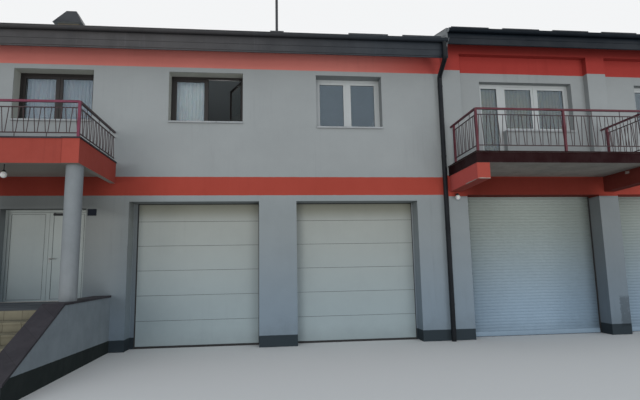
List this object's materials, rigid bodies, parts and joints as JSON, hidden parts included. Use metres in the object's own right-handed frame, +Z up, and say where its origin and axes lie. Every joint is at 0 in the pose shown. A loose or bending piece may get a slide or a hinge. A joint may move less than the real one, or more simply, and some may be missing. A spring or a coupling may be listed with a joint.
{
  "type": "fire station building",
  "caption": "Two-storey fire station of two joined blocks with garage doors, roller shutters, balconies, a raised entrance and low gabled roofs.",
  "frame": {"origin": "ground level, middle of the footprint of the two blocks, on the underside of the ground floor", "axes": "+Z up, +X to the right along the street front seen from the street, +Y from the street into the building"},
  "size_m": [21.66, 16.15, 10.5492],
  "materials": {
    "wall_render": "matte",
    "red_render": "matte",
    "concrete": "matte",
    "dark_sheet": "satin",
    "door_white": "satin",
    "white_frame": "gloss",
    "brown_frame": "satin",
    "window_glass": "gloss",
    "pale_sill": "matte",
    "handle_metal": "satin",
    "brown_stone": "satin",
    "dark_slab": "matte",
    "crimson_steel": "satin",
    "yellow_stone": "matte",
    "grey_column": "matte",
    "chimney_render": "matte",
    "lamp_white": "gloss",
    "plate_blue": "gloss"
  },
  "bodies": {
    "building": {"ground_floor": "concrete", "entry_wall_left": "wall_render", "entry_wall_right": "wall_render", "entry_wall_head": "wall_render", "front_piers": "wall_render", "door_lintels": "red_render", "upper_wall_left": "wall_render", "top_beam": "red_render", "infill_walls": "wall_render", "gable_walls": "wall_render", "back_wall_left": "wall_render", "back_wall_right": "wall_render", "upper_floors": "concrete", "roof_left": "dark_sheet", "roof_right": "dark_sheet", "gutters": "dark_sheet", "downpipes": "dark_sheet", "garage_doors": "door_white", "roller_shutters": "door_white", "window_frames_brown": "brown_frame", "window_frames_white": "white_frame", "open_sash": "brown_frame", "window_panes": "window_glass", "window_sills": "pale_sill", "entry_frame": "white_frame", "frame_hinges": "handle_metal", "balcony_left": "red_render", "copings": "brown_stone", "balcony_slab_right": "dark_slab", "balcony_consoles": "red_render", "railing_left": "crimson_steel", "railing_right": "crimson_steel", "entrance_stair": "concrete", "stair_treads": "yellow_stone", "cheek_walls": "wall_render", "entry_columns": "grey_column", "chimney": "chimney_render", "chimney_hood": "dark_sheet", "roof_mast": "dark_sheet", "snow_guards": "dark_sheet", "wall_lamps": "lamp_white", "number_plate": "plate_blue"},
    "left_door": {"entry_leaf_left": "white_frame", "leaf_hinges_left": "handle_metal"},
    "right_door": {"entry_leaf_right": "white_frame", "entry_handle": "handle_metal", "leaf_hinges_right": "handle_metal"}
  },
  "joints": [
    {"name": "left_door_hinge", "type": "hinge", "parent": "building", "child": "left_door", "pos_m": [-9.397, -5.061, 2.2], "axis": [0, 0, 1], "range_deg": [0, 90]},
    {"name": "right_door_hinge", "type": "hinge", "parent": "building", "child": "right_door", "pos_m": [-7.583, -5.061, 2.2], "axis": [0, 0, -1], "range_deg": [0, 90]}
  ]
}
